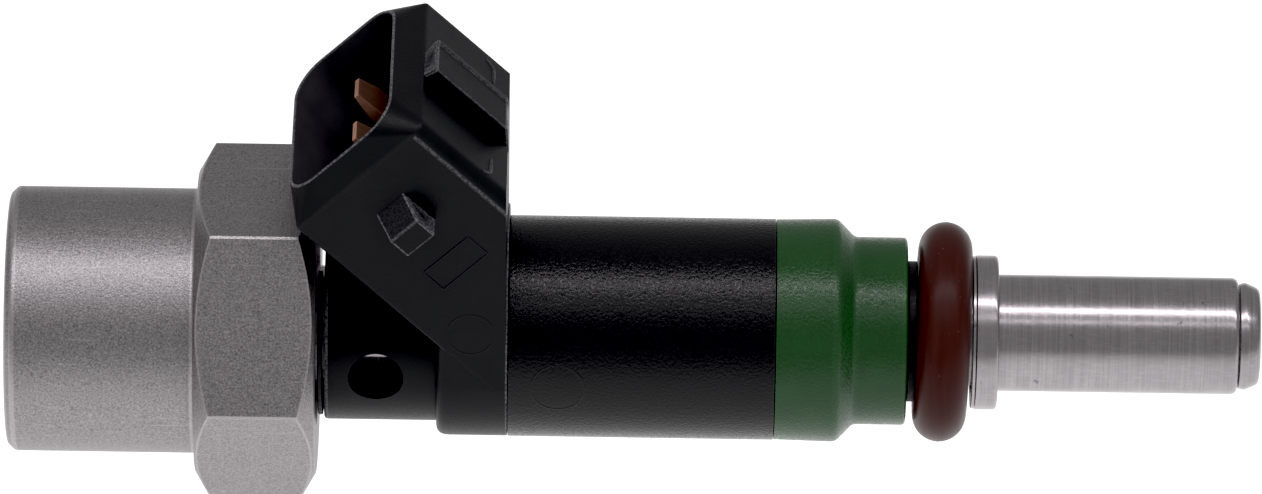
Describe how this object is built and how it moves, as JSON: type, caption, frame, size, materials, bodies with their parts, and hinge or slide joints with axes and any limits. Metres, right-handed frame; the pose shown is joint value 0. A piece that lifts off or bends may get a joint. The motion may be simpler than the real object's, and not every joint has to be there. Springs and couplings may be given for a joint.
{
  "type": "fuel injector",
  "caption": "Electromagnetic port fuel injector: slanted plug socket, sleeved coil body, O-ring nozzle and a swivelling hexagonal inlet adapter.",
  "frame": {"origin": "on the injector's axis, at the middle of the nozzle O-ring, where the manifold bore holds it", "axes": "+X along the injector's axis from the inlet to the spray tip; +Z on the side of the plug socket; Y across the plug socket"},
  "size_m": [0.0827, 0.0236, 0.032],
  "materials": {
    "blasted_steel": "fine blasted",
    "black_spring_steel": "black oxide",
    "smooth_black_nylon": "satin moulded",
    "grained_black_nylon": "grained moulded",
    "green_nylon": "grained moulded",
    "black_plastic": "satin",
    "brown_rubber": "semi-gloss",
    "black_rubber": "satin",
    "turned_steel": "turned",
    "magnetic_steel": "turned",
    "copper_alloy": "stamped",
    "brown_nylon": "satin",
    "enamelled_wire": "enamelled"
  },
  "bodies": {
    "injector_body": {"connector_housing": "smooth_black_nylon", "terminal_left": "copper_alloy", "terminal_right": "copper_alloy", "barrel_sleeve": "grained_black_nylon", "lower_body": "green_nylon", "o_ring_spacer": "black_plastic", "nozzle_o_ring": "brown_rubber", "o_ring_retainer": "turned_steel", "valve_body": "turned_steel", "nozzle_tip": "turned_steel", "fuel_tube": "turned_steel", "inlet_filter": "brown_nylon", "inlet_o_ring": "black_rubber", "backing_ring": "brown_nylon", "pole_piece": "magnetic_steel", "nonmagnetic_ring": "turned_steel", "adjusting_tube": "turned_steel", "return_spring": "turned_steel", "coil_bobbin": "brown_nylon", "coil_winding": "enamelled_wire", "coil_can": "magnetic_steel", "flux_washer": "magnetic_steel", "needle_guide": "turned_steel", "valve_seat": "turned_steel", "orifice_plate": "turned_steel", "retaining_clip": "black_spring_steel"},
    "moving_valve": {"armature": "magnetic_steel", "needle_tube": "turned_steel", "valve_ball": "turned_steel"},
    "swivel_adapter": {"inlet_adapter": "blasted_steel"}
  },
  "joints": [
    {"name": "needle_lift", "type": "slide", "parent": "injector_body", "child": "moving_valve", "axis": [-1, 0, 0], "range_m": [0, 0.0001], "stiffness_N_per_m": 2000, "springref_m": -0.0015},
    {"name": "adapter_swivel", "type": "hinge", "parent": "injector_body", "child": "swivel_adapter", "pos_m": [-0.04526, 0, 0], "axis": [1, 0, 0], "continuous": true}
  ]
}
